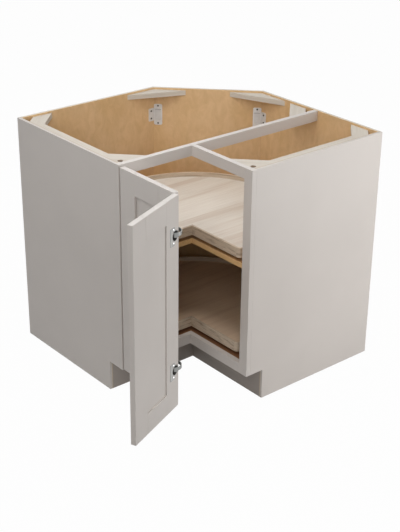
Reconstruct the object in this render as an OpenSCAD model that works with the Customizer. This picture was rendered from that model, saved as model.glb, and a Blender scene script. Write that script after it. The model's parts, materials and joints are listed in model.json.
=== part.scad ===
// Corner base cabinet with two turning kidney shelves and a bi-fold pair of doors.
// Millimetres, +Z up. The origin is the point on the floor where the two room walls meet;
// the cabinet stands in the quarter x > 0, y < 0, and the doors close its inner corner.
// The doors are drawn as they stand open: the left leaf at door_open, the right one folded on.

/* [Cabinet] */
// Length of the cabinet along each wall
cabinet_w = 914.4; // [890:0.1:960]
// Height from the floor to the top of the face frame
cabinet_h = 876.3; // [840:0.1:940]
// How many times the width of a front wing, where a leaf hangs, goes into that length
wings_in_length = 3; // [2.9:0.05:3.2]
// How much of the room corner the diagonal back cuts off along each wall
chamfer = 304.8; // [240:0.1:330]
// Height of the toe space
toe_h = 114.3; // [90:0.1:125]
// Depth of the toe space
toe_d = 76.2; // [50:0.1:90]

/* [Boards] */
// Thickness of the side and back panels
panel_t = 12.7; // [10:0.1:16]
// Thickness of the cabinet floor and of the fixed shelf
shelf_t = 19.05; // [16:0.05:22]
// Depth of the grooves that the floor and the fixed shelf stand in
dado_depth = 6; // [4:0.1:8]
// Clearance at the bottom of those grooves
dado_clearance = 0.2; // [0.1:0.05:0.5]
// Top of the fixed shelf above the floor
fixed_shelf_z = 516.5; // [440:0.5:590]
// Distance from the back of the face frame to the shelves' front edges
shelf_setback = 9.5; // [3:0.1:14]
// Thickness of the toe boards
toe_board_t = 12.7; // [9:0.1:16]

/* [Face frame] */
// Thickness of the face frame
frame_t = 19.05; // [17:0.05:22]
// Width of the outer stiles
stile_w = 38.1; // [36:0.1:44]
// Height of the top rails
top_rail_w = 38.1; // [30:0.1:50]
// Height of the bottom rails
bottom_rail_w = 38.1; // [30:0.1:50]

/* [Corner blocks] */
// Thickness of the corner blocks
block_t = 19.05; // [15:0.05:22]
// Leg of the front blocks
front_block_leg = 114.3; // [90:0.1:130]
// Leg of the blocks in the square rear corners
rear_block_leg = 126; // [100:1:140]
// Leg of the corner cut off those blocks
rear_block_cut = 44; // [20:1:55]
// Leg of the blocks in the blunt rear corners
blunt_block_leg = 125; // [90:1:135]
// How far the rear blocks lie below the top
block_recess = 6.4; // [3:0.1:12]
// Diameter of the countertop screw holes
countertop_hole_d = 12; // [8:0.5:16]
// Distance from the countertop screw holes to both outer faces
countertop_hole_inset = 29; // [27:0.5:34]
// Width of the cleats along the tops of the sides
cleat_w = 25.4; // [18:0.1:32]
// Height of those cleats
cleat_h = 38.1; // [25:0.1:60]

/* [Carousel shelves] */
// Clearance between the turning shelves and the straight backs
carousel_back_gap = 89.3; // [80:0.1:100]
// Clearance between the turning shelves and the sides
carousel_side_gap = 57.7; // [50:0.1:70]
// Thickness of the turning boards
carousel_board_t = 19.05; // [15:0.05:22]
// Height of the band round each turning shelf
band_h = 36; // [28:0.5:50]
// Thickness of that band
band_t = 7.5; // [5:0.5:10]
// Radius of the shelves' two front corners
band_corner_r = 16; // [12:0.5:24]

/* [Swivel bearings] */
// Height of a swivel bearing, which is the gap under a turning shelf
swivel_h = 12; // [11.5:0.1:15]
// Clearance between a bearing's flange and the inner corner of the shelf on it
swivel_edge_gap = 25.8; // [1:0.1:40]
// Diameter of the balls
ball_d = 7; // [6:0.1:8]
// Number of balls in a bearing
ball_count = 36; // [24:1:44]
// Thickness of the bearing's flanges
swivel_flange_t = 2; // [1.5:0.1:2.4]
// Screws in each flange
swivel_screws = 6; // [4:1:8]

/* [Doors] */
// Thickness of the door leaves
door_t = 19.05; // [18:0.05:22]
// Gap between the closed doors and the face frame
door_gap = 3; // [3:0.1:4]
// How far the doors stop short of the outer sides
door_side_reveal = 6.35; // [3:0.05:10]
// How far they stop short of the top
door_top_reveal = 6.35; // [3:0.05:14]
// How far they stop short of the toe space
door_bottom_reveal = 3.2; // [1:0.1:10]
// Half of the slot between the two leaves
leaf_edge_gap = 1; // [0.6:0.1:1.5]
// Width of the stiles and rails in a leaf
door_rail_w = 76.2; // [55:0.1:90]
// Thickness of the recessed door panels
door_panel_t = 6.35; // [5:0.05:8]
// Share of the leaf's depth past those panels that lies in front of them
door_panel_set = 0.67; // [0.5:0.01:0.75]
// Depth of the grooves that hold those panels
door_groove = 9.5; // [7:0.1:12]
// Clearance of the door panels in their grooves
door_panel_clearance = 0.8; // [0.3:0.1:1.5]
// How far the left leaf stands open
door_open = 90; // [0:1:107]
// How far the left leaf can open
door_limit = 107; // [95:1:107]
// Turn of the right leaf on the left one, for each degree that the left one opens
fold_ratio = 0.25; // [0.2:0.01:0.25]

/* [Door hinges] */
// Diameter of the hinge cups
cup_d = 35; // [34:0.5:36]
// Depth of the hinge cups
cup_depth = 12.5; // [12:0.1:13]
// Wall of the hinge cups
cup_wall = 0.8; // [0.6:0.1:1]
// Wood between a door hinge's cup and the leaf's edge
cup_tab = 3; // [3:0.1:3.4]
// Wood between a fold hinge's cup and the leaf's edge
fold_cup_tab = 6.5; // [5:0.5:8]
// Distance between a cup's two screws
cup_screw_span = 45; // [44:0.5:48]
// How far those screws lie behind the cup's centre
cup_screw_offset = 9.5; // [9:0.5:10]
// How far a door hinge cup's flange reaches behind the cup's centre
cup_flange_reach = 18; // [17:0.5:20]
// How far a fold hinge cup's flange reaches behind the cup's centre
fold_flange_reach = 31; // [26:0.5:34]
// Door hinge axis behind the leaf's back face
pivot_depth = 8; // [7.8:0.1:8.2]
// Door hinge axis from the leaf's outer edge
pivot_edge = 7; // [6.8:0.1:7.1]
// Diameter of the door hinge pins
pin_d = 3; // [2.6:0.1:3.2]
// Thickness of the hinge arms
arm_t = 2.2; // [2:0.1:2.4]
// Height of the lower door hinge
door_hinge_low = 220; // [190:1:300]
// Height of the upper door hinge
door_hinge_high = 770; // [700:1:780]
// Height of the lower fold hinge
fold_hinge_low = 262; // [240:1:330]
// Height of the upper fold hinge
fold_hinge_high = 741; // [690:1:760]
// Radius of the fold hinges' curved arms
fold_arm_r = 26; // [25.5:0.1:26.5]
// Clearance of those arms in their guides
fold_arm_play = 0.3; // [0.2:0.05:0.4]

/* [Corner brackets] */
// Height of the steel brackets' middle
bracket_z = 769.5; // [740:1:790]
// Height of a bracket's plate on the diagonal back
bracket_h = 84; // [70:1:100]
// Width of that plate
bracket_w = 32; // [28:1:40]
// Height of a bracket's flange on the straight back
bracket_flange_h = 52; // [44:1:60]
// Width of that flange
bracket_flange_w = 25; // [20:1:30]
// Thickness of the bracket steel
bracket_t = 1.6; // [1.2:0.1:2]
// Height of the box pressed out of the plate
bracket_box_h = 42; // [36:1:46]
// How far that box stands out
bracket_box_d = 5; // [3:0.5:7]

/* [Hidden] */
$fn = 96;

// Face frame and inner faces
side_d = cabinet_w - cabinet_w / wings_in_length;
frame_back = side_d - frame_t;
side_inner = cabinet_w - panel_t;
floor_top = toe_h + bottom_rail_w;
floor_bottom = floor_top - shelf_t;
toe_face = side_d - toe_d;
blunt_mitre = tan(22.5);
blunt_inner = chamfer + panel_t * blunt_mitre;
shelf_front = frame_back - shelf_setback;
stile_inner = cabinet_w - stile_w;
cut_over = 1;

// Door leaves, closed
leaf_back = side_d + door_gap;
leaf_front = leaf_back + door_t;
leaf_outer = cabinet_w - door_side_reveal;
leaf_inner = leaf_front + leaf_edge_gap;
leaf_z = toe_h + door_bottom_reveal;
leaf_h = cabinet_h - door_top_reveal - leaf_z;
panel_front = leaf_front - door_panel_set * (door_t - door_panel_t);
panel_back = panel_front - door_panel_t;
pivot_x = leaf_back + pivot_depth;
pivot_y = -(leaf_outer - pivot_edge);
leaf_fold = door_open * fold_ratio;

// Carousel shelves
band_front = shelf_front;
carousel_r = (side_inner - panel_t - carousel_side_gap - carousel_back_gap) / 2;
carousel_axis = panel_t + carousel_back_gap + carousel_r;

// Swivel bearings
race_half_w = 8;
race_gap = 1.6;
ball_play = 0.25;
swivel_flange_half_w = 17;
swivel_r = sqrt(2) * (band_front - carousel_axis) - swivel_flange_half_w - swivel_edge_gap;
swivel_screw_r = swivel_r + race_half_w + 4.5;

// Screws
screw_d = 3.5;
screw_head_d = 7;
screw_head_h = 1.8;
screw_l = 10;
screw_play = 0.15;

// Hinge cups
cup_flange_t = 1.2;
cup_rim_w = 1.5;
cup_rim_trim = 0.3;
cup_ear = 8.5;
cup_flange_corner_r = 6;
cup_inner_r = cup_d / 2 - cup_wall;
door_cup_y = -(leaf_outer - cup_tab - cup_d / 2);
fold_cup_x = leaf_inner + fold_cup_tab + cup_d / 2;
cup_slot = [[12, 16.5], [17, 16.5]];
cup_slot_w = 4;

// Door hinge arms
eye_r = pin_d / 2 + 1;
eye_h = 6;
pin_play = 0.08;
arm_h = 12;
arm_plate_h = 52;
arm_plate_t = 2.5;
arm_screw_span = 36;
arm_floor_gap = 0.3;
arm_root = 1;
neck_lean = 0.6;
neck_start = 7;
neck_turn_r = 6;

// Fold hinge arms
fold_plate_w = 34;
fold_plate_h = 52;
fold_plate_edge = 3;
fold_screw_span = 36;
fold_foot_inset = 4;
fold_floor_gap = 0.4;
fold_limit = door_limit * fold_ratio;
fold_tip = fold_limit
  + asin((door_t - cup_depth + cup_wall + fold_floor_gap) / (fold_arm_r - arm_t / 2));
fold_guide_wall = 2;
fold_guide_end = 17;

// Door bumpers
bumper_d = 8;
bumper_taper = 2;
bumper_inset = 12;
bumper_clearance = 0.3;

// Steel brackets
bracket_start = 1.5;
bracket_hole_z = 35;
bracket_flange_hole_z = 15;
bracket_flange_hole = 13;
bracket_corner_r = 6;
bracket_flange_corner_r = 4;
bracket_box_edge = 4;
bracket_web = 6.5;

// ---- Shared placing ----

// Copies the left half's shape to the right half: the mirror swaps the two walls.
module across_diagonal() {
  mirror([1, 1, 0]) children();
}

// A flat board from its plan, standing on bottom and thickness high.
module board(bottom, thickness) {
  translate([0, 0, bottom]) linear_extrude(thickness) children();
}

// A box between two corners.
module block_between(low, high) {
  translate(low) cube(high - low);
}

// Turns a piece of the left leaf from closed to where the leaf stands.
module on_left_leaf() {
  translate([pivot_x, pivot_y, 0]) rotate(-door_open) translate([-pivot_x, -pivot_y, 0]) children();
}

// Turns a piece of the right leaf from closed to where that leaf stands.
module on_right_leaf() {
  on_left_leaf() translate([leaf_front, -leaf_front, 0]) rotate(leaf_fold)
    translate([-leaf_front, leaf_front, 0]) children();
}

// ---- Screws: head up along +Z, shank down from the origin ----

module screw() {
  rotate_extrude() polygon([[0, -screw_l], [screw_d / 2, 1.5 - screw_l], [screw_d / 2, 0],
    [screw_head_d / 2, 0], [screw_head_d / 2, screw_head_h - 0.7], [screw_head_d / 2 - 1.1,
    screw_head_h], [0, screw_head_h]]);
}

module screw_hole() {
  translate([0, 0, -screw_l - 0.5]) cylinder(h = screw_l + 3, d = screw_d + 2 * screw_play);
}

// ---- Carcass ----

// Plan of a shelf in its grooves; front is the distance of its two front edges from the walls.
module shelf_plan(front, play) {
  edge = panel_t - dado_depth + play;
  blunt = chamfer + edge * blunt_mitre;
  side = side_inner + dado_depth - play;
  polygon([[edge, -side], [front, -side], [front, -front], [side, -front], [side, -edge],
    [blunt, -edge], [edge, -blunt]]);
}

// The room that the floor and the fixed shelf take out of the side and back panels.
module shelf_grooves() {
  board(floor_bottom, shelf_t) shelf_plan(frame_back + cut_over, 0);
  board(fixed_shelf_z - shelf_t, shelf_t) shelf_plan(shelf_front, 0);
}

module cabinet_floor() {
  color("burlywood") difference() {
    board(floor_bottom, shelf_t) shelf_plan(frame_back, dado_clearance);
    translate([0, 0, floor_top]) swivel_flange_screws() screw_hole();
  }
}

module fixed_shelf() {
  color("peru") difference() {
    board(fixed_shelf_z - shelf_t, shelf_t) shelf_plan(shelf_front, dado_clearance);
    translate([0, 0, fixed_shelf_z]) swivel_flange_screws() screw_hole();
  }
}

module side_panel() {
  difference() {
    block_between([0, -cabinet_w, 0], [frame_back, -side_inner, cabinet_h]);
    block_between([toe_face, -cabinet_w - cut_over, -cut_over],
      [frame_back + cut_over, -side_inner + cut_over, toe_h]);
    shelf_grooves();
  }
}

module side_panel_left() {
  color("darkgray") side_panel();
}

module side_panel_right() {
  color("lightgray") across_diagonal() side_panel();
}

module straight_back() {
  difference() {
    board(0, cabinet_h) polygon([[0, -side_inner], [panel_t, -side_inner],
      [panel_t, -blunt_inner], [0, -chamfer]]);
    shelf_grooves();
    bracket_flange_screws() screw_hole();
  }
}

module back_panel_left() {
  color("tan") straight_back();
}

module back_panel_right() {
  color("tan") across_diagonal() straight_back();
}

module back_panel_diagonal() {
  color("tan") difference() {
    board(0, cabinet_h) polygon([[0, -chamfer], [panel_t, -blunt_inner],
      [blunt_inner, -panel_t], [chamfer, 0]]);
    shelf_grooves();
    bracket_plate_screws() screw_hole();
    across_diagonal() bracket_plate_screws() screw_hole();
  }
}

module toe_board_left() {
  color("dimgray") block_between([toe_face - toe_board_t, -side_inner, 0],
    [toe_face, -toe_face + toe_board_t, floor_bottom]);
}

module toe_board_right() {
  color("dimgray") block_between([toe_face, -toe_face, 0],
    [side_inner, -toe_face + toe_board_t, floor_bottom]);
}

// ---- Face frame ----

module outer_stile() {
  difference() {
    block_between([frame_back, -cabinet_w, toe_h], [side_d, -stile_inner, cabinet_h]);
    hinge_arm_screws() screw_hole();
  }
}

module stile_left() {
  color("gray") outer_stile();
}

module stile_right() {
  color("gray") across_diagonal()
    block_between([frame_back, -cabinet_w, toe_h], [side_d, -stile_inner, cabinet_h]);
}

// The left top rail runs on past the inner corner as a stretcher, to the straight back.
module top_rail_and_stretcher() {
  color("gray") block_between([frame_back, -stile_inner, cabinet_h - top_rail_w],
    [side_d, -panel_t, cabinet_h]);
}

module top_rail_right() {
  color("gray") block_between([side_d, -side_d, cabinet_h - top_rail_w],
    [stile_inner, -frame_back, cabinet_h]);
}

module bottom_rail_left() {
  color("gray") block_between([frame_back, -stile_inner, toe_h], [side_d, -frame_back, floor_top]);
}

module bottom_rail_right() {
  color("gray") block_between([side_d, -side_d, toe_h], [stile_inner, -frame_back, floor_top]);
}

// ---- Corner blocks and cleats ----

module front_block() {
  difference() {
    board(cabinet_h - block_t, block_t) polygon([[frame_back, -side_inner],
      [frame_back, -side_inner + front_block_leg], [frame_back - front_block_leg, -side_inner]]);
    translate([side_d - countertop_hole_inset, -cabinet_w + countertop_hole_inset,
      cabinet_h - block_t - cut_over]) cylinder(h = block_t + 2 * cut_over, d = countertop_hole_d);
  }
}

module front_block_left() {
  color("wheat") front_block();
}

module front_block_right() {
  color("wheat") across_diagonal() front_block();
}

// A rear block in the corner at the origin, its legs along +X and +Y.
module square_corner_block() {
  board(cabinet_h - block_recess - block_t, block_t) polygon([[rear_block_leg, 0],
    [0, rear_block_leg], [0, rear_block_cut], [rear_block_cut, 0]]);
}

module rear_block_left() {
  color("wheat") translate([panel_t, -side_inner, 0]) square_corner_block();
}

module rear_block_right() {
  color("wheat") across_diagonal() translate([panel_t, -side_inner, 0]) square_corner_block();
}

module stretcher_block() {
  color("wheat") translate([frame_back, -panel_t, 0]) rotate(180) square_corner_block();
}

module blunt_block() {
  along = blunt_block_leg / sqrt(2);
  board(cabinet_h - block_recess - block_t, block_t) polygon([[panel_t, -blunt_inner],
    [panel_t, -blunt_inner - blunt_block_leg], [panel_t + along, -blunt_inner + along]]);
}

module blunt_block_left() {
  color("wheat") blunt_block();
}

module blunt_block_right() {
  color("wheat") across_diagonal() blunt_block();
}

// The cleat is mitred against the slanting edges of the front and the rear block.
module side_cleat() {
  rear = panel_t + rear_block_leg;
  front = frame_back - front_block_leg;
  board(cabinet_h - cleat_h, cleat_h) polygon([[rear, -side_inner], [front, -side_inner],
    [front + cleat_w, -side_inner + cleat_w], [rear - cleat_w, -side_inner + cleat_w]]);
}

module side_cleat_left() {
  color("navajowhite") side_cleat();
}

module side_cleat_right() {
  color("navajowhite") across_diagonal() side_cleat();
}

// ---- Pressed steel corner brackets ----

// Puts a shape on the diagonal back: +X runs along it from the blunt corner, +Z points inwards.
module on_diagonal_back() {
  translate([panel_t, -blunt_inner, bracket_z]) rotate(45) rotate([90, 0, 0]) children();
}

// Puts a shape on the straight back: +X runs along it from the blunt corner, +Z points inwards.
module on_straight_back() {
  translate([panel_t, -blunt_inner, bracket_z]) rotate(-90) rotate([-90, 0, 0]) children();
}

module bracket_plate_screws() {
  for (side = [-1, 1])
    on_diagonal_back() translate([bracket_start + bracket_w / 2, side * bracket_hole_z, bracket_t])
      children();
}

module bracket_flange_screws() {
  for (side = [-1, 1])
    on_straight_back() translate([bracket_flange_hole, side * bracket_flange_hole_z, bracket_t])
      children();
}

module rounded_plate(width, height, corner_r) {
  for (side = [-1, 1])
    translate([corner_r, side * (height / 2 - corner_r)]) circle(corner_r);
  for (side = [-1, 1])
    translate([width - corner_r, side * (height / 2 - corner_r)]) circle(corner_r);
  translate([0, corner_r - height / 2]) square([width, height - 2 * corner_r]);
  translate([corner_r, -height / 2]) square([width - 2 * corner_r, height]);
}

module corner_bracket() {
  difference() {
    union() {
      on_diagonal_back() translate([bracket_start, 0, 0]) {
        linear_extrude(bracket_t) rounded_plate(bracket_w, bracket_h, bracket_corner_r);
        linear_extrude(bracket_box_d) translate([bracket_box_edge, -bracket_box_h / 2])
          square([bracket_w - 2 * bracket_box_edge, bracket_box_h]);
      }
      on_straight_back() linear_extrude(bracket_t)
        rounded_plate(bracket_flange_w, bracket_flange_h, bracket_flange_corner_r);
      on_straight_back() bracket_bend();
      on_diagonal_back() bracket_bend();
    }
    on_diagonal_back() translate([bracket_start + bracket_box_edge + bracket_t, 0, -cut_over])
      linear_extrude(bracket_box_d - bracket_t + cut_over)
      translate([0, bracket_t - bracket_box_h / 2])
      square([bracket_w - 2 * (bracket_box_edge + bracket_t), bracket_box_h - 2 * bracket_t]);
    bracket_plate_screws() screw_hole();
    bracket_flange_screws() screw_hole();
  }
}

// Half of the web in the blunt corner that joins the plate to the flange.
module bracket_bend() {
  linear_extrude(bracket_t) translate([0, -bracket_box_h / 2])
    square([bracket_web, bracket_box_h]);
}

module corner_bracket_left() {
  color("gainsboro") corner_bracket();
}

module corner_bracket_right() {
  color("gainsboro") across_diagonal() corner_bracket();
}

module bracket_screw_set() {
  bracket_plate_screws() screw();
  bracket_flange_screws() screw();
}

module bracket_screws() {
  color("dimgray") {
    bracket_screw_set();
    across_diagonal() bracket_screw_set();
  }
}

// ---- Swivel bearings, standing on z = 0 round the turning axis ----

module on_axis(z) {
  translate([carousel_axis, -carousel_axis, z]) children();
}

module swivel_flange_screws() {
  translate([carousel_axis, -carousel_axis, swivel_flange_t])
    for (i = [0 : swivel_screws - 1])
      rotate(i * 360 / swivel_screws) translate([swivel_screw_r, 0, 0]) children();
}

module swivel_ring() {
  groove_r = ball_d / 2 + ball_play;
  race_top = (swivel_h - race_gap) / 2;
  difference() {
    rotate_extrude() difference() {
      union() {
        translate([swivel_r - swivel_flange_half_w, 0])
          square([2 * swivel_flange_half_w, swivel_flange_t]);
        translate([swivel_r - race_half_w, 0]) square([2 * race_half_w, race_top]);
      }
      translate([swivel_r, swivel_h / 2]) circle(groove_r);
    }
    for (i = [0 : swivel_screws - 1])
      rotate(i * 360 / swivel_screws) translate([swivel_screw_r, 0, swivel_flange_t]) screw_hole();
  }
}

module swivel_base_lower() {
  color("silver") on_axis(floor_top) swivel_ring();
}

module swivel_base_upper() {
  color("silver") on_axis(fixed_shelf_z) swivel_ring();
}

module swivel_top(z) {
  on_axis(z + swivel_h) mirror([0, 0, 1]) swivel_ring();
}

module swivel_top_lower() {
  color("silver") swivel_top(floor_top);
}

module swivel_top_upper() {
  color("silver") swivel_top(fixed_shelf_z);
}

module swivel_balls() {
  for (i = [0 : ball_count - 1])
    rotate(i * 360 / ball_count) translate([swivel_r, 0, swivel_h / 2]) sphere(d = ball_d);
}

module swivel_balls_lower() {
  color("whitesmoke") on_axis(floor_top) swivel_balls();
}

module swivel_balls_upper() {
  color("whitesmoke") on_axis(fixed_shelf_z) swivel_balls();
}

module swivel_base_screws() {
  color("dimgray")
    for (z = [floor_top, fixed_shelf_z])
      translate([0, 0, z]) swivel_flange_screws() screw();
}

// Screws that reach up through a turning flange into the board above it.
module swivel_top_screws(z) {
  translate([0, 0, z + swivel_h]) mirror([0, 0, 1]) swivel_flange_screws() children();
}

module swivel_top_screws_lower() {
  color("dimgray") swivel_top_screws(floor_top) screw();
}

module swivel_top_screws_upper() {
  color("dimgray") swivel_top_screws(fixed_shelf_z) screw();
}

// ---- Carousel shelves ----

// Centre of a front corner's rounding, for the outline that lies inset behind the outer one.
corner_y = -band_front + band_corner_r;
corner_x = carousel_axis
  + sqrt(pow(carousel_r - band_corner_r, 2) - pow(carousel_axis + corner_y, 2));

// A disc with a quarter cut out of its front and two rounded front corners.
module kidney_plan(inset) {
  difference() {
    translate([carousel_axis, -carousel_axis]) circle(carousel_r - inset, $fn = 360);
    translate([band_front - inset, -2 * cabinet_w])
      square([2 * cabinet_w, 2 * cabinet_w - band_front + inset]);
    kidney_corner_cut(band_corner_r - inset);
    mirror([1, 1]) kidney_corner_cut(band_corner_r - inset);
  }
}

// What lies beyond the rounding, between its centre's normals to the edge and to the rim.
module kidney_corner_cut(round_r) {
  out = [corner_x - carousel_axis, corner_y + carousel_axis];
  far = 3 * band_corner_r;
  tip = far * out / norm(out);
  difference() {
    translate([corner_x, corner_y]) polygon([[0, 0], [0, -far], [2 * far, -far], tip]);
    translate([corner_x, corner_y]) circle(round_r);
  }
}

module nosing_strip_plan() {
  inner = band_front - band_t;
  polygon([[inner, -inner], [band_front, -band_front], [corner_x, -band_front],
    [corner_x, -inner]]);
}

module carousel_board(z) {
  difference() {
    board(z + swivel_h, carousel_board_t) kidney_plan(band_t);
    swivel_top_screws(z) screw_hole();
  }
}

module carousel_rim(z) {
  board(z + swivel_h, band_h) difference() {
    kidney_plan(0);
    kidney_plan(band_t);
    nosing_strip_plan();
    mirror([1, 1]) nosing_strip_plan();
  }
}

module carousel_nosing(z) {
  board(z + swivel_h, band_h) {
    nosing_strip_plan();
    mirror([1, 1]) nosing_strip_plan();
  }
}

module lower_carousel_board() {
  color("antiquewhite") carousel_board(floor_top);
}

module lower_carousel_rim() {
  color("tan") carousel_rim(floor_top);
}

module lower_carousel_nosing() {
  color("rosybrown") carousel_nosing(floor_top);
}

module upper_carousel_board() {
  color("antiquewhite") carousel_board(fixed_shelf_z);
}

module upper_carousel_rim() {
  color("tan") carousel_rim(fixed_shelf_z);
}

module upper_carousel_nosing() {
  color("rosybrown") carousel_nosing(fixed_shelf_z);
}

// ---- Door leaves, drawn closed on the left wing and turned to their places ----

// A groove of the panel's thickness between the leaf's faces.
module leaf_slot(low, high) {
  block_between([panel_back, low[0], low[1]], [panel_front, high[0], high[1]]);
}

module leaf_stile(low, groove_low) {
  difference() {
    block_between([leaf_back, low, leaf_z], [leaf_front, low + door_rail_w, leaf_z + leaf_h]);
    leaf_slot([groove_low, leaf_z - cut_over],
      [groove_low + door_groove, leaf_z + leaf_h + cut_over]);
  }
}

// The stile at the outer edge of the closed leaf.
module outer_leaf_stile() {
  leaf_stile(-leaf_outer, -leaf_outer + door_rail_w - door_groove);
}

// The stile at the fold.
module fold_leaf_stile() {
  leaf_stile(-leaf_inner - door_rail_w, -leaf_inner - door_rail_w);
}

// A rail with its tongues; groove_z is the bottom of its panel groove.
module leaf_rail(z, groove_z) {
  near = -leaf_outer + door_rail_w;
  away = -leaf_inner - door_rail_w;
  tongue = door_groove - door_panel_clearance;
  difference() {
    union() {
      block_between([leaf_back, near, z], [leaf_front, away, z + door_rail_w]);
      leaf_slot([near - tongue, z], [away + tongue, z + door_rail_w]);
    }
    leaf_slot([near - door_groove - cut_over, groove_z],
      [away + door_groove + cut_over, groove_z + door_groove]);
  }
}

module leaf_top_rail() {
  leaf_rail(leaf_z + leaf_h - door_rail_w, leaf_z + leaf_h - door_rail_w);
}

module leaf_bottom_rail() {
  leaf_rail(leaf_z, leaf_z + door_rail_w - door_groove);
}

module leaf_panel() {
  hold = door_groove - door_panel_clearance;
  leaf_slot([-leaf_outer + door_rail_w - hold, leaf_z + door_rail_w - hold],
    [-leaf_inner - door_rail_w + hold, leaf_z + leaf_h - door_rail_w + hold]);
}

module left_leaf_hinge_stile() {
  color("darkgray") on_left_leaf() difference() {
    outer_leaf_stile();
    at_door_cups() cup_bore();
    at_door_cups() cup_screw_places() screw_hole();
  }
}

module left_leaf_fold_stile() {
  color("darkgray") on_left_leaf() difference() {
    fold_leaf_stile();
    fold_plate_screws() screw_hole();
  }
}

module left_leaf_top_rail() {
  color("darkgray") on_left_leaf() leaf_top_rail();
}

module left_leaf_bottom_rail() {
  color("darkgray") on_left_leaf() leaf_bottom_rail();
}

module left_leaf_panel() {
  color("silver") on_left_leaf() leaf_panel();
}

module right_leaf_fold_stile() {
  color("darkgray") on_right_leaf() difference() {
    across_diagonal() fold_leaf_stile();
    at_fold_cups() cup_bore();
    at_fold_cups() cup_screw_places() screw_hole();
  }
}

module right_leaf_free_stile() {
  color("darkgray") on_right_leaf() across_diagonal() outer_leaf_stile();
}

module right_leaf_top_rail() {
  color("darkgray") on_right_leaf() across_diagonal() leaf_top_rail();
}

module right_leaf_bottom_rail() {
  color("darkgray") on_right_leaf() across_diagonal() leaf_bottom_rail();
}

module right_leaf_panel() {
  color("silver") on_right_leaf() across_diagonal() leaf_panel();
}

// ---- Hinge cups: +Z out of the leaf's back, +X away from the leaf's hinged edge ----

module at_door_cups() {
  for (z = [door_hinge_low, door_hinge_high])
    translate([leaf_back, door_cup_y, z]) rotate([0, -90, 0]) rotate(90) children();
}

module at_fold_cups() {
  for (z = [fold_hinge_low, fold_hinge_high])
    translate([fold_cup_x, -leaf_back, z]) rotate([-90, 0, 0]) children();
}

module cup_bore() {
  translate([0, 0, -cup_depth]) cylinder(h = cup_depth + cut_over, d = cup_d);
}

module cup_screw_places() {
  for (side = [-1, 1])
    translate([cup_screw_offset, side * cup_screw_span / 2, cup_flange_t]) children();
}

// The flange is a rim round the cup and a plate under both screws that ends at reach.
module cup_flange_plan(reach) {
  plate_start = cup_screw_offset - cup_ear;
  intersection() {
    circle(cup_d / 2 + cup_rim_w);
    translate([cup_rim_trim - cup_d / 2, -cup_d]) square(2 * cup_d);
  }
  translate([plate_start, 0])
    rounded_plate(reach - plate_start, cup_screw_span + 2 * cup_ear, cup_flange_corner_r);
}

module hinge_cup(reach) {
  difference() {
    union() {
      translate([0, 0, -cup_depth]) cylinder(h = cup_depth, d = cup_d);
      linear_extrude(cup_flange_t) cup_flange_plan(reach);
    }
    translate([0, 0, cup_wall - cup_depth]) cylinder(h = 2 * cup_depth, r = cup_inner_r);
    cup_screw_places() screw_hole();
  }
}

// The door hinge cups carry the pins on which the leaf turns.
module door_hinge_cups() {
  pin_x = pivot_edge - cup_tab - cup_d / 2;
  pin_l = 2 * sqrt(cup_inner_r * cup_inner_r - pin_x * pin_x) + 2 * cup_wall;
  color("silver") on_left_leaf() at_door_cups() {
    intersection() {
      translate([pin_x, 0, -pivot_depth]) rotate([90, 0, 0])
        cylinder(h = pin_l, d = pin_d, center = true);
      translate([0, 0, -cup_depth]) cylinder(h = cup_depth, d = cup_d);
    }
    hinge_cup(cup_flange_reach);
  }
}

module left_leaf_screws() {
  color("dimgray") on_left_leaf() {
    at_door_cups() cup_screw_places() screw();
    fold_plate_screws() screw();
  }
}

// The fold hinge cups carry the guides in which the curved arms slide, about the fold axis.
module fold_hinge_cups() {
  color("silver") on_right_leaf() {
    at_fold_cups() difference() {
      hinge_cup(fold_flange_reach);
      cup_adjusting_slots();
    }
    for (z = [fold_hinge_low, fold_hinge_high])
      translate([leaf_front, -leaf_front, z]) fold_guide();
  }
}

// Long holes in the flange, beside the cup, that let the hinge be set up or down.
module cup_adjusting_slots() {
  linear_extrude(4 * cup_flange_t, center = true) {
    stroke(cup_slot[0], cup_slot[1], cup_slot_w);
    mirror([0, 1]) stroke(cup_slot[0], cup_slot[1], cup_slot_w);
  }
}

module fold_guide() {
  slot_r = arm_t / 2 + fold_arm_play;
  slot_h = arm_h + 2 * fold_arm_play;
  guide_h = slot_h + 2 * fold_guide_wall;
  cup_floor = door_t - cup_depth + cup_wall;
  intersection() {
    difference() {
      ring_sector(fold_arm_r - slot_r - fold_guide_wall, fold_arm_r + slot_r + fold_guide_wall,
        0, fold_tip + fold_guide_end, guide_h);
      ring_sector(fold_arm_r - slot_r, fold_arm_r + slot_r, 0, 2 * fold_tip, slot_h);
    }
    translate([0, cup_floor - cup_wall / 2, -guide_h])
      cube([2 * fold_arm_r, 2 * fold_arm_r, 2 * guide_h]);
  }
}

// A piece of a ring about the origin, between two angles under 180, centred in its height.
module ring_sector(inner_r, outer_r, from, to, height) {
  far = 4 * outer_r;
  translate([0, 0, -height / 2]) linear_extrude(height) difference() {
    circle(outer_r, $fn = 180);
    circle(inner_r, $fn = 180);
    rotate(from) translate([-far, -far]) square([2 * far, far]);
    rotate(to) translate([-far, 0]) square([2 * far, far]);
  }
}

module fold_hinge_cup_screws() {
  color("dimgray") on_right_leaf() at_fold_cups() cup_screw_places() screw();
}

// ---- Door hinge arms: from a plate on the stile round into the cup, to an eye on the pin ----

// Plan of the goose neck, from the eye on the hinge axis out to the stile's inner edge.
module goose_neck_plan() {
  floor_x = cup_depth - pivot_depth - cup_wall - arm_t / 2 - arm_floor_gap;
  out_y = -stile_inner - pivot_y + arm_plate_t - arm_t / 2;
  turn = [[0, 2], [0.2, 1], [0.6, 0.35]];
  path = concat([[0, 0], [floor_x - neck_lean, neck_start]],
    [for (step = turn) [floor_x - step[0] * neck_turn_r, out_y - step[1] * neck_turn_r]],
    [[-pivot_depth - arm_root, out_y], [side_d - pivot_x - arm_root, out_y]]);
  for (i = [0 : len(path) - 2])
    stroke(path[i], path[i + 1], arm_t);
}

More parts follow.
